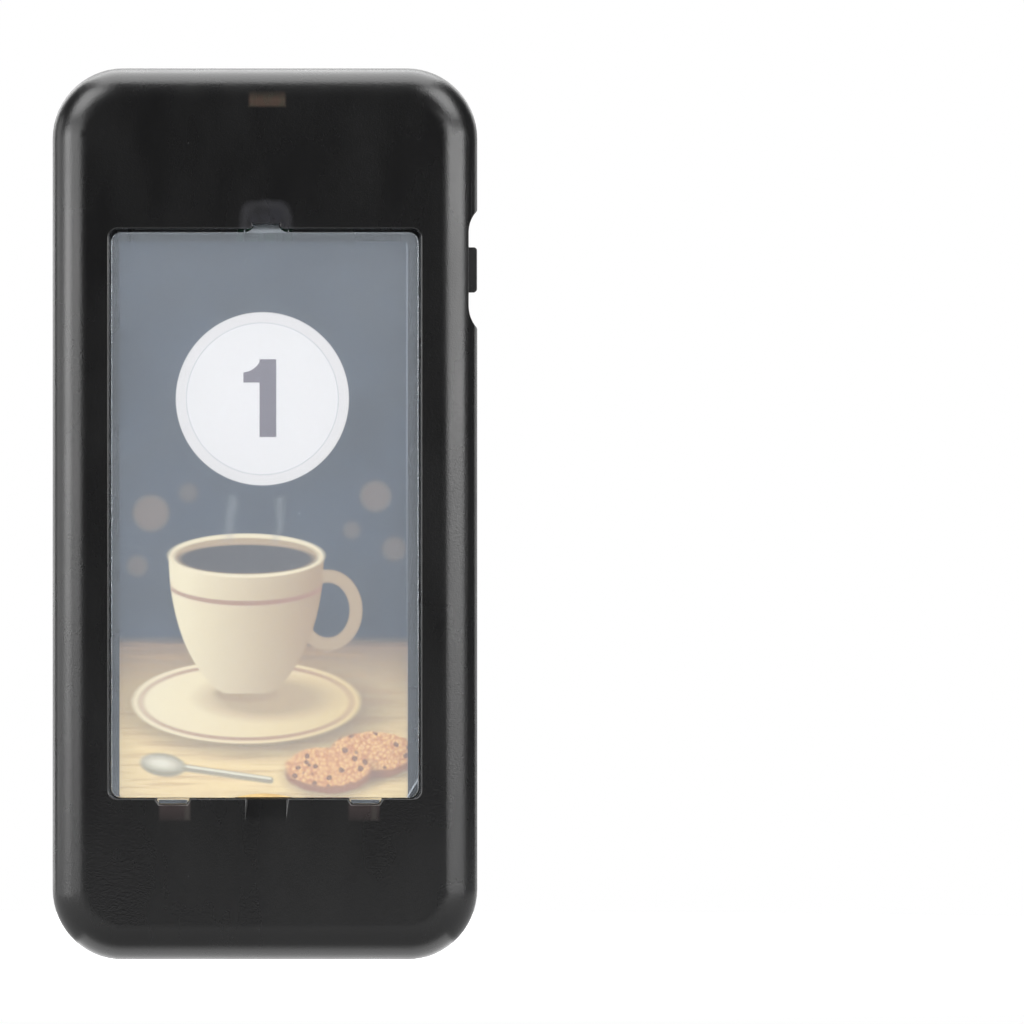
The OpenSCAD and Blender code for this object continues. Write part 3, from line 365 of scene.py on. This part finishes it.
def clear_cover():
    """Clear moulding with an even milky haze, fine scratches and dust, over a clipped clear film."""
    made, tree, shader = new_material("clear_cover", Base_Color=(*HAZE, 1), Roughness=0.02, IOR=1.49)
    place = object_place(tree)
    canvas = Canvas(tree, place, HAZE)
    # a clear film lies under the pane; its clipped corner shows at the lower right, with a painted highlight
    # along its cut edge
    right, low = COVER_HIGH.x / MM, CARD_LOW.z / MM
    clip_low, clip_high = (right - 1.35, low), (right - 0.05, low + 2.15)
    film = canvas.left_of(clip_low, clip_high, 0.1)
    film_edge_highlight = canvas.stroke(clip_low, clip_high, 0.16, 0.1)
    marks = specks(tree, place, 0.8 * MM, 0.05, 0.12 * MM)
    for start, end in SCRATCHES:
        marks = canvas.either(marks, sums(tree, "MULTIPLY", canvas.stroke(start, end, 0.06, 0.1), 0.5))
    # the pane's edges are hazed more: edge wear, and a painted highlight along them
    left, pane_top, worn = COVER_LOW.x / MM, WINDOW_TOP - 0.38, 0.13
    inside_edge_band = canvas.box((left + worn, 0), (right - worn, pane_top - 0.12), 0.1)
    worn_edge_highlight = canvas.without(1.0, inside_edge_band)
    neck = canvas.left_of((-5, WINDOW_TOP), (5, WINDOW_TOP), 0.2)
    cloud = spread(tree, noise(tree, place, 14 * MM, 3), 0.3, 0.7, 0.056, 0.064)
    haze = sums(tree, "MULTIPLY", cloud, spread(tree, film, 0, 1, 0.5, 1.0))
    for mask, share in ((marks, 0.45), (film_edge_highlight, 0.23), (worn_edge_highlight, 0.115)):
        haze = sums(tree, "MAXIMUM", haze, sums(tree, "MULTIPLY", mask, share))
    haze = sums(tree, "MULTIPLY", haze, spread(tree, neck, 0, 1, 1.0, 0.45))
    link(tree, sums(tree, "SUBTRACT", 1.0, haze), shader, "Transmission Weight")
    return made


# ---------------------------------------------------------------- the printed card

PORCELAIN = (0.50, 0.40, 0.24)
CREAM, CREAM_SHADE = (0.42, 0.29, 0.12), (0.25, 0.16, 0.08)
BAND = (0.21, 0.09, 0.055)
COFFEE = (0.016, 0.010, 0.008)
SHADOW = (0.075, 0.042, 0.026)
NIGHT = (0.004, 0.007, 0.012)
CUP_MIDDLE = -2.2  # the cup's axis, in millimetres across


def printed_card():
    """A plain drawing of a cup and biscuits on a table, under a white disc with a number."""
    made, tree, shader = new_material("printed_card", Roughness=0.42, IOR=1.45)
    place = object_place(tree)
    fibre = noise(tree, place, 0.35 * MM, 3)
    cloud = spread(tree, noise(tree, place, 9 * MM, 3), 0.35, 0.65)
    canvas = Canvas(tree, place, blend(tree, cloud, NIGHT, [c * 1.9 for c in NIGHT]))
    draw_lamps(canvas)
    draw_table(canvas)
    draw_saucer(canvas)
    draw_cup(canvas)
    draw_spoon(canvas)
    draw_biscuits(canvas)
    draw_disc(canvas)
    # the card's right edge is paler, most of all in its upper half
    edge_x = CARD_HIGH.x / MM - 0.2
    upper = spread(tree, canvas.along((0, 38), (0, 60)), 0, 1, 0.25, 1.0)
    canvas.paint((0.085, 0.085, 0.095), canvas.left_of((edge_x, 90), (edge_x, 10), 0.1), upper)
    paper = blend(tree, spread(tree, fibre, 0.3, 0.7), (0.56, 0.5, 0.42), (0.64, 0.58, 0.5))
    on_front = spread(tree, canvas.depth, CARD_LOW.y / MM + 0.08, CARD_LOW.y / MM + 0.04)
    printed = blend(tree, spread(tree, fibre, 0.3, 0.7, 0.0, 0.01), canvas.colour, (0.3, 0.28, 0.26))
    link(tree, blend(tree, on_front, paper, printed), shader, "Base Color")
    return made


def draw_disc(canvas):
    """A white disc with a thin grey line and the number 1."""
    centre = (-0.3, 66.05)
    canvas.paint((0.423, 0.375, 0.336), canvas.ellipse(centre, (10.18, 10.18), 0.14))
    canvas.paint((0.455, 0.407, 0.369), canvas.ellipse(centre, (8.9, 8.9), 0.1))
    canvas.paint((0.25, 0.24, 0.24), canvas.ring(centre, (8.93, 8.93), 0.1, 0.1), 0.75)
    # a plain upright stem with a curved flag
    stem = canvas.box((-0.64, 61.55), (1.33, 70.7), 0.1)
    hollow = canvas.ellipse((-2.75, 71.35), (2.35, 2.2), 0.1)
    flag = canvas.without(canvas.box((-2.54, 67.95), (0, 70.7), 0.1), hollow)
    canvas.paint((0.073, 0.053, 0.061), canvas.either(stem, flag))


def draw_lamps(canvas):
    """Round lamps far off in the dark, out of focus."""
    amber = (0.26, 0.15, 0.07)
    for x, z, size, strength in ((-13.4, 52.6, 2.1, 0.30), (-15.0, 46.4, 1.2, 0.20), (-9.0, 55.0, 1.1, 0.16),
                                 (13.0, 54.6, 1.8, 0.26), (10.2, 50.6, 1.0, 0.18), (15.2, 48.4, 1.4, 0.20)):
        canvas.paint(amber, canvas.ellipse((x, z), (size, size), 0.7), strength)


def draw_table(canvas):
    """A pale wooden table top that brightens towards the viewer."""
    tree = canvas.tree
    far_edge = 37.5
    top = canvas.left_of((20, far_edge), (-20, far_edge), 1.4)
    near = spread(tree, canvas.along((0, far_edge), (0, 25)), 0, 1)
    wood = blend(tree, near, (0.13, 0.074, 0.040), (0.50, 0.35, 0.155))
    drawn_out = vectors(tree, "MULTIPLY", canvas.at, (0.12, 1.6, 1))
    streaks = node(tree, "TexNoise", {"Vector": drawn_out, "Scale": 1.0})
    grain = spread(tree, streaks.outputs["Fac"], 0.48, 0.66, 0.0, 0.45)
    canvas.paint(blend(tree, grain, wood, (0.27, 0.15, 0.06)), top)


def draw_saucer(canvas):
    """A cream saucer with a brown line, and its shadow on the table."""
    tree = canvas.tree
    centre = (CUP_MIDDLE, 30.4)
    canvas.paint(SHADOW, canvas.ellipse((CUP_MIDDLE + 1.4, 29.0), (14.2, 5.0), 2.4), 0.75)
    light = spread(tree, canvas.along((-13, 32), (11, 29)), 0, 1)
    canvas.paint(blend(tree, light, PORCELAIN, CREAM), canvas.ellipse(centre, (13.4, 4.9), 0.25))
    canvas.paint(BAND, canvas.ring(centre, (12.4, 4.35), 0.4, 0.3), 0.8)
    canvas.paint(CREAM_SHADE, canvas.ellipse((CUP_MIDDLE + 2.6, 30.9), (7.4, 2.4), 1.4), 0.85)


def draw_cup(canvas):
    """A cream cup of coffee from the side, its handle to the right, with a little steam."""
    tree = canvas.tree
    rim_z, foot_z = 47.6, 31.4
    canvas.paint(CREAM_SHADE, canvas.ring((CUP_MIDDLE + 9.6, 41.2), (3.3, 4.0), 1.5, 0.25))
    canvas.paint(CREAM_SHADE, canvas.ellipse((CUP_MIDDLE, foot_z), (3.7, 1.0), 0.25))
    across = spread(tree, canvas.along((CUP_MIDDLE - 8, 40), (CUP_MIDDLE + 8, 39)), 0, 1)
    upright = canvas.box((CUP_MIDDLE - 10, foot_z), (CUP_MIDDLE + 10, rim_z), 0.2)
    bowl = canvas.both(canvas.ellipse((CUP_MIDDLE, rim_z), (9.1, 16.9), 0.2), upright)
    canvas.paint(blend(tree, across, PORCELAIN, (0.22, 0.13, 0.06)), bowl)
    stripe = canvas.ring((CUP_MIDDLE, rim_z - 3), (9.4, 2.6), 0.55, 0.2)
    below = canvas.left_of((20, rim_z - 3), (-20, rim_z - 3), 0.2)
    canvas.paint(BAND, canvas.both(canvas.both(stripe, below), bowl), 0.85)
    canvas.paint(PORCELAIN, canvas.ellipse((CUP_MIDDLE, rim_z), (9.15, 2.6), 0.2))
    canvas.paint(CREAM_SHADE, canvas.ellipse((CUP_MIDDLE, rim_z - 0.05), (8.5, 2.15), 0.2))
    canvas.paint(COFFEE, canvas.ellipse((CUP_MIDDLE, rim_z - 0.4), (8.0, 1.7), 0.25))
    steam = canvas.wobbled(3.5, 2.6)
    for x in (-4.6, 1.4):
        canvas.paint((0.16, 0.15, 0.14), steam.stroke((x, 49.6), (x + 0.6, 54.0), 0.5, 1.2), 0.5)


def draw_spoon(canvas):
    """A steel spoon on the table in front of the saucer."""
    steel, gleam = (0.20, 0.16, 0.10), (0.50, 0.44, 0.32)
    canvas.paint(steel, canvas.stroke((-9.8, 22.7), (0.6, 21.2), 0.8, 0.3))
    canvas.paint(gleam, canvas.stroke((-9.8, 22.9), (0.6, 21.4), 0.25, 0.2), 0.8)
    canvas.paint(steel, canvas.ellipse((-12.0, 23.0), (2.7, 1.35), 0.3, -8))
    canvas.paint(gleam, canvas.ellipse((-12.2, 23.2), (1.9, 0.7), 0.8, -8), 0.8)


def draw_biscuits(canvas):
    """Two round biscuits, one lying on the edge of the other."""
    tree = canvas.tree
    rough = canvas.wobbled(1.2, 0.5)
    chips = node(tree, "TexVoronoi", {"Vector": rough.at, "Scale": 0.85})
    spots = spread(tree, chips.outputs["Distance"], 0.32, 0.24)
    crumb = node(tree, "TexVoronoi", {"Vector": rough.at, "Scale": 2.2})
    pale = spread(tree, crumb.outputs["Distance"], 0.1, 0.8, 1, 0)
    baked = blend(tree, pale, (0.34, 0.14, 0.05), (0.52, 0.29, 0.10))
    for x, z in ((12.6, 24.6), (7.4, 22.8)):
        canvas.paint(SHADOW, canvas.ellipse((x + 0.5, z - 1.1), (5.4, 2.5), 1.2), 0.7)
        canvas.paint((0.20, 0.085, 0.04), rough.ellipse((x, z - 0.8), (5.0, 2.3), 0.25))
        top = rough.ellipse((x, z), (5.0, 2.3), 0.25)
        canvas.paint(baked, top)
        canvas.paint((0.09, 0.035, 0.02), canvas.both(spots, top), 0.8)


# ---------------------------------------------------------------- metals and the parts inside

def bare_metal(name, tone, roughness, brushed):
    """Metal with a cloudy tone and fine hairlines."""
    made, tree, shader = new_material(name, Metallic=1.0)
    place = object_place(tree)
    hair = noise(tree, place, 0.12 * MM, 4, brushed)
    cloud = spread(tree, noise(tree, place, 2.5 * MM, 4), 0.3, 0.7)
    link(tree, blend(tree, cloud, [c * 0.9 for c in tone], tone), shader, "Base Color")
    link(tree, spread(tree, hair, 0.2, 0.8, roughness - 0.07, roughness + 0.1), shader, "Roughness")
    roughen(tree, shader, hair, 0.003 * MM, 0.6)
    return made


def dull(name, tone, roughness, grain, depth, lift):
    """Plastic, rubber, foam, resin or ceramic: a cloudy tone over a grain of its own size."""
    made, tree, shader = new_material(name)
    place = object_place(tree)
    size = grain * MM
    cloud = spread(tree, noise(tree, place, size * 9, 4), 0.3, 0.7)
    link(tree, blend(tree, cloud, tone, [min(c * lift, 0.95) for c in tone]), shader, "Base Color")
    smear = noise(tree, place, size * 4, 3)
    link(tree, spread(tree, smear, 0.3, 0.7, roughness - 0.05, roughness + 0.08), shader, "Roughness")
    roughen(tree, shader, noise(tree, place, size, 3), depth * MM, 0.8)
    return made


def circuit_board():
    """Green board lacquer with raised tracks under it."""
    made, tree, shader = new_material("circuit_board", Roughness=0.28)
    place = object_place(tree)
    flat = vectors(tree, "MULTIPLY", place, (1, 0, 1))
    cells = node(tree, "TexVoronoi", {"Vector": flat, "Scale": 1 / (2.4 * MM), "Randomness": 0.35},
                 feature="F1", distance="CHEBYCHEV")
    track = spread(tree, sums(tree, "PINGPONG", cells.outputs["Distance"], 0.16), 0.04, 0.08)
    cloud = spread(tree, noise(tree, place, 6 * MM, 4), 0.3, 0.7)
    ground = blend(tree, cloud, (0.002, 0.010, 0.006), (0.003, 0.014, 0.008))
    link(tree, blend(tree, track, ground, (0.005, 0.028, 0.015)), shader, "Base Color")
    roughen(tree, shader, track, 0.03 * MM, 0.6)
    return made


# each with its tone, its roughness and how its brushing is drawn out
METALS = {
    "black_steel": ((0.055, 0.054, 0.056), 0.38, (1, 1, 1)),
    "nickel": ((0.70, 0.66, 0.62), 0.27, (1, 1, 0.12)),
    "tinplate": ((0.66, 0.66, 0.68), 0.3, (0.15, 1, 1)),
    "copper_wire": ((0.72, 0.34, 0.17), 0.26, (1, 1, 1)),
    "battery_foil": ((0.60, 0.61, 0.63), 0.36, (1, 1, 0.2)),
    "brass": ((0.70, 0.50, 0.20), 0.24, (0.15, 1, 1)),
    "weight_metal": ((0.42, 0.42, 0.44), 0.4, (1, 1, 1)),
}

# each with its tone, its roughness, its grain's size and depth in millimetres and how far the tone is lifted
DULL = {
    "white_plastic": ((0.68, 0.68, 0.64), 0.42, 0.1, 0.004, 1.12),
    "phosphor": ((0.78, 0.58, 0.08), 0.2, 0.05, 0.003, 1.15),
    "chip_resin": ((0.022, 0.022, 0.023), 0.5, 0.06, 0.006, 1.6),
    "ferrite": ((0.07, 0.07, 0.078), 0.6, 0.08, 0.01, 1.5),
    "chip_ceramic": ((0.40, 0.27, 0.16), 0.5, 0.08, 0.005, 1.3),
    "foam_tape": ((0.66, 0.66, 0.63), 0.85, 0.3, 0.06, 1.2),
    "lead_red": ((0.50, 0.02, 0.014), 0.4, 0.12, 0.006, 1.3),
    "lead_black": ((0.018, 0.018, 0.019), 0.42, 0.12, 0.006, 1.6),
    "magnet": ((0.075, 0.075, 0.08), 0.45, 0.1, 0.01, 1.5),
    "boot_rubber": ((0.02, 0.02, 0.021), 0.7, 0.15, 0.012, 1.6),
}

MATERIALS = {}
for slot, finish in METALS.items():
    MATERIALS[slot] = bare_metal(slot, *finish)
for slot, finish in DULL.items():
    MATERIALS[slot] = dull(slot, *finish)
for make in (smoked_plastic, black_plastic, key_plastic, clear_cover, printed_card, circuit_board):
    MATERIALS[make.__name__] = make()
SLOT_OF = {part["node"]: part["material_slot"] for part in frame["record"]["subparts"]}

for name, part in frame["nodes"].items():
    part.data.materials[0] = MATERIALS[SLOT_OF[name]]


# ---------------------------------------------------------------- the pieces that are seen

NARROW = 0.4  # how much of a full rounding the lesser edges get
FLAT = math.radians(0.6)  # faces that turn by less than this are one
SHARP = math.radians(28)  # edges that turn by more than this are rounded
SAME_PLACE = 1e-7


def refined(name, source, body, edge, segments=2, wide=None):
    """A finer piece in a CAD node's place: its flat faces made whole and its sharp edges rounded.

    Where wide is given, the edges that it picks are rounded by edge and the others by a part of it.
    """
    mesh = bpy.data.meshes.new(name)
    work = bmesh.new()
    work.from_mesh(frame["nodes"][source].data)
    bmesh.ops.remove_doubles(work, verts=work.verts, dist=SAME_PLACE)
    bmesh.ops.dissolve_limit(work, angle_limit=FLAT, verts=work.verts, edges=work.edges)
    for face in work.faces:
        face.smooth = True
    share = work.edges.layers.float.new("bevel_weight_edge")
    for line in work.edges:
        if len(line.link_faces) == 2 and line.calc_face_angle() > SHARP:
            line[share] = 1 if wide is None or wide(line) else NARROW
    work.to_mesh(mesh)
    work.free()
    mesh.materials.append(MATERIALS[SLOT_OF[source]])
    piece = bpy.data.objects.new(name, mesh)
    bpy.context.collection.objects.link(piece)
    rounding = piece.modifiers.new("edges", "BEVEL")
    rounding.width = edge
    rounding.segments = segments
    rounding.limit_method = "WEIGHT"
    rounding.use_clamp_overlap = False
    evened = piece.modifiers.new("normals", "WEIGHTED_NORMAL")
    evened.weight = 60
    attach(piece, body)
    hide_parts(source)
    return piece


def on_the_face(line):
    """True for edges that lie in the front shell's flat face."""
    return all(vert.co.y < CASE_LOW.y + 0.02 * MM for vert in line.verts)


refined("front_shell_skin", "front_shell", "case", 0.25 * MM, 3, wide=on_the_face)
refined("back_shell_skin", "back_shell", "case", 0.1 * MM)
refined("side_key_cap", "side_key", "key", 0.1 * MM, 3)
refined("contact_strip_left", "charge_contact_left", "case", 0.08 * MM, 3)
refined("contact_strip_right", "charge_contact_right", "case", 0.08 * MM, 3)
refined("case_screw_heads", "case_screws", "case", 0.05 * MM)
cover = refined("cover_pane_clear", "window_cover", "cover", 0.12 * MM)
cover.visible_shadow = False  # it is clear, so the card gets its light through it


# ---------------------------------------------------------------- floor, light and camera

FLOOR_RADIUS = 0.2
FLOOR_GLOW = 0.34  # what the floor gives the object
FLOOR_WHITE = 0.85  # what the camera sees of it
FLOOR_UNDER = 1.5  # how much more it gives right beneath the case


def floor_white():
    """White to the camera, and a dimmer glow on the object that is stronger right beneath it."""
    made, tree, shader = new_material("floor_white", Roughness=0.8)
    cloud = noise(tree, object_place(tree), 30 * MM, 4)
    link(tree, blend(tree, cloud, (0.16, 0.16, 0.16), (0.2, 0.2, 0.2)), shader, "Base Color")
    shader.inputs["Emission Color"].default_value = (1, 1, 1, 1)
    footprint = Canvas(tree, object_place(tree), (0, 0, 0), second="Y")
    half_x, half_y = CASE_HIGH.x / MM - 1, CASE_HIGH.y / MM - 0.8
    beneath = footprint.box((-half_x, -half_y), (half_x, half_y), 1.2)
    seen = node(tree, "LightPath").outputs["Is Camera Ray"]
    around = spread(tree, seen, 0, 1, FLOOR_GLOW, FLOOR_WHITE)
    link(tree, sums(tree, "MULTIPLY_ADD", beneath, FLOOR_UNDER, around), shader, "Emission Strength")
    return made


def make_floor():
    """A white disc under the object, without a visible shadow."""
    mesh = bpy.data.meshes.new("floor")
    work = bmesh.new()
    bmesh.ops.create_circle(work, cap_ends=True, segments=128, radius=FLOOR_RADIUS)
    work.to_mesh(mesh)
    work.free()
    mesh.materials.append(floor_white())
    floor = bpy.data.objects.new("floor", mesh)
    bpy.context.collection.objects.link(floor)


def soft_box(name, azimuth, elevation, distance, width, height, radiance):
    """A soft light that faces the object. Its azimuth goes round from the front towards +X."""
    a, e = math.radians(azimuth), math.radians(elevation)
    away = Vector((math.sin(a) * math.cos(e), -math.cos(a) * math.cos(e), math.sin(e)))
    lamp = bpy.data.lights.new(name, "AREA")
    lamp.shape = "RECTANGLE"
    lamp.size, lamp.size_y = width, height
    lamp.energy = radiance * math.pi * width * height
    made = bpy.data.objects.new(name, lamp)
    made.location = MIDDLE + away * distance
    made.rotation_euler = away.to_track_quat("Z", "Y").to_euler()
    bpy.context.collection.objects.link(made)


def make_world(strength):
    """White to the camera, and a dim even fill for everything else."""
    world = bpy.data.worlds.new("studio")
    world.use_nodes = True
    tree = world.node_tree
    white = node(tree, "Background", {"Color": (1, 1, 1, 1), "Strength": 1.0}).outputs[0]
    fill = node(tree, "Background", {"Color": (1, 1, 1, 1), "Strength": strength}).outputs[0]
    choose = node(tree, "MixShader", {0: node(tree, "LightPath").outputs["Is Camera Ray"], 1: fill, 2: white})
    tree.links.new(choose.outputs[0], tree.nodes["World Output"].inputs[0])
    bpy.context.scene.world = world


# each with its azimuth and elevation in degrees, its distance, width and height in metres, and its radiance
SOFT_BOXES = {
    "left_box": (-70, 6, 0.5, 0.22, 0.18, 8.1),
    "left_edge_box": (-91, -1, 0.5, 0.14, 0.118, 2.6),
    "left_inner_box": (-41, 6, 0.5, 0.23, 0.19, 4.5),
    "right_box": (53, 6, 0.6, 0.58, 0.17, 7.4),
    "right_inner_box": (26, 6, 0.6, 0.15, 0.17, 3.6),
    "left_fill_box": (-56, 42, 0.8, 0.5, 0.5, 6.6),
    "right_fill_box": (56, 42, 0.8, 0.5, 0.5, 6.6),
    "top_box": (0, 106, 1.0, 1.0, 1.3, 4.7),
    "top_back_box": (0, 152, 1.0, 1.0, 0.7, 1.5),
    "back_left_box": (-112, 0, 1.1, 0.4, 0.8, 1.8),
    "back_right_box": (112, 0, 1.1, 0.4, 0.8, 0.1),
    "rear_left_box": (-150, 15, 1.1, 0.4, 0.8, 2.0),
    "rear_right_box": (150, 15, 1.1, 0.4, 0.8, 1.0),
}

make_floor()
make_world(0.04)
for name, placing in SOFT_BOXES.items():
    soft_box(name, *placing)

DOTS = 1024  # dots across the picture
DOTS_PER_MM = 8.475  # at the middle of the case
LENS, SENSOR = 500, 36  # in millimetres: a long lens, far away
VIEW_WIDTH = DOTS / DOTS_PER_MM * MM
VIEW_RIGHT = 29.15 * MM  # how far the picture's middle lies to the right of the case's middle
VIEW_UP = 0.24 * MM  # and above it

eye = bpy.data.cameras.new("camera")
eye.lens, eye.sensor_width = LENS, SENSOR
eye.shift_x, eye.shift_y = VIEW_RIGHT / VIEW_WIDTH, VIEW_UP / VIEW_WIDTH
eye.clip_start, eye.clip_end = 0.05, 20
camera = bpy.data.objects.new("camera", eye)
camera.location = (MIDDLE.x, -VIEW_WIDTH * LENS / SENSOR, MIDDLE.z)
camera.rotation_euler = (math.radians(90), 0, 0)
bpy.context.collection.objects.link(camera)
bpy.context.scene.camera = camera
bpy.context.scene.view_settings.view_transform = "Standard"
